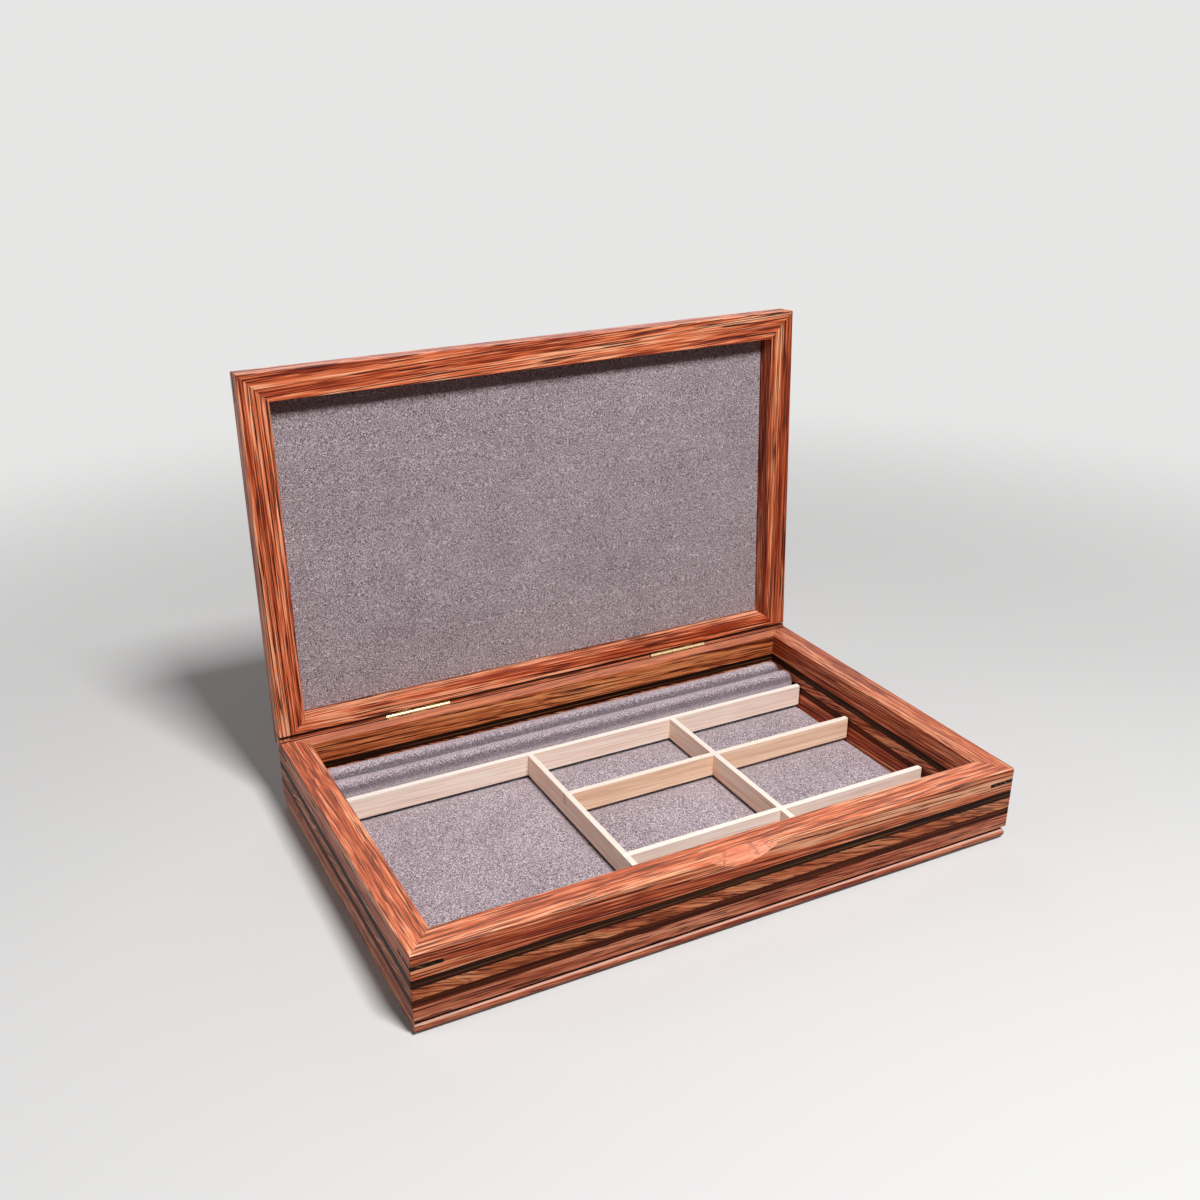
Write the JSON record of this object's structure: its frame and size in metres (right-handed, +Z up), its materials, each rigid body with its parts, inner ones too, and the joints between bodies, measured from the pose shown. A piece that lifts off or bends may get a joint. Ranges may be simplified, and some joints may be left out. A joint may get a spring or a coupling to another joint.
{
  "type": "valet box",
  "caption": "Shallow laminated wooden box with a hinged felt-lined lid, a lift-out divider grid, ring rolls and a finger scoop in the front rim.",
  "frame": {"origin": "centre of the underside", "axes": "+X to the right along the longest side, +Y to the hinged back, +Z up"},
  "size_m": [0.33, 0.2233, 0.2411],
  "materials": {
    "red_wood": "satin, coarse straight grain",
    "dark_stripe": "satin, near black",
    "pale_wood": "satin, fine grain",
    "felt": "matt grey-mauve felt",
    "roll_fabric": "matt grey-mauve felt over foam",
    "brass": "polished"
  },
  "bodies": {
    "case": {"front_bottom_band": "red_wood", "front_lower_stripe": "dark_stripe", "front_middle_band": "red_wood", "front_upper_stripe": "dark_stripe", "front_top_band": "red_wood", "right_bottom_band": "red_wood", "right_lower_stripe": "dark_stripe", "right_middle_band": "red_wood", "right_upper_stripe": "dark_stripe", "right_top_band": "red_wood", "back_bottom_band": "red_wood", "back_lower_stripe": "dark_stripe", "back_middle_band": "red_wood", "back_upper_stripe": "dark_stripe", "back_top_band": "red_wood", "left_bottom_band": "red_wood", "left_lower_stripe": "dark_stripe", "left_middle_band": "red_wood", "left_upper_stripe": "dark_stripe", "left_top_band": "red_wood", "case_key_front_left": "dark_stripe", "case_key_front_right": "dark_stripe", "case_key_back_right": "dark_stripe", "case_key_back_left": "dark_stripe", "bottom_panel": "red_wood", "floor_pad": "felt", "left_hinge_case_leaf": "brass", "left_hinge_pin": "brass", "right_hinge_case_leaf": "brass", "right_hinge_pin": "brass"},
    "lid": {"lid_back_rail": "red_wood", "lid_right_stile": "red_wood", "lid_front_rail": "red_wood", "lid_left_stile": "red_wood", "lid_panel": "red_wood", "lid_felt": "felt", "lid_key_front_left": "dark_stripe", "lid_key_front_right": "dark_stripe", "lid_key_back_right": "dark_stripe", "lid_key_back_left": "dark_stripe", "left_hinge_lid_leaf": "brass", "right_hinge_lid_leaf": "brass"},
    "divider_grid": {"divider_back": "pale_wood", "divider_left": "pale_wood", "divider_right": "pale_wood", "divider_middle": "pale_wood", "divider_front": "pale_wood"},
    "ring_insert": {"ring_board": "pale_wood", "ring_roll_front": "roll_fabric", "ring_roll_back": "roll_fabric"}
  },
  "joints": [
    {"name": "lid_hinge", "type": "hinge", "parent": "case", "child": "lid", "pos_m": [0, 0.0969, 0.04255], "axis": [1, 0, 0], "range_deg": [0, 93.2]},
    {"name": "divider_lift", "type": "slide", "parent": "case", "child": "divider_grid", "axis": [0, 0, 1], "range_m": [0, 0.02]},
    {"name": "ring_insert_lift", "type": "slide", "parent": "case", "child": "ring_insert", "axis": [0, 0, 1], "range_m": [0, 0.012]}
  ]
}
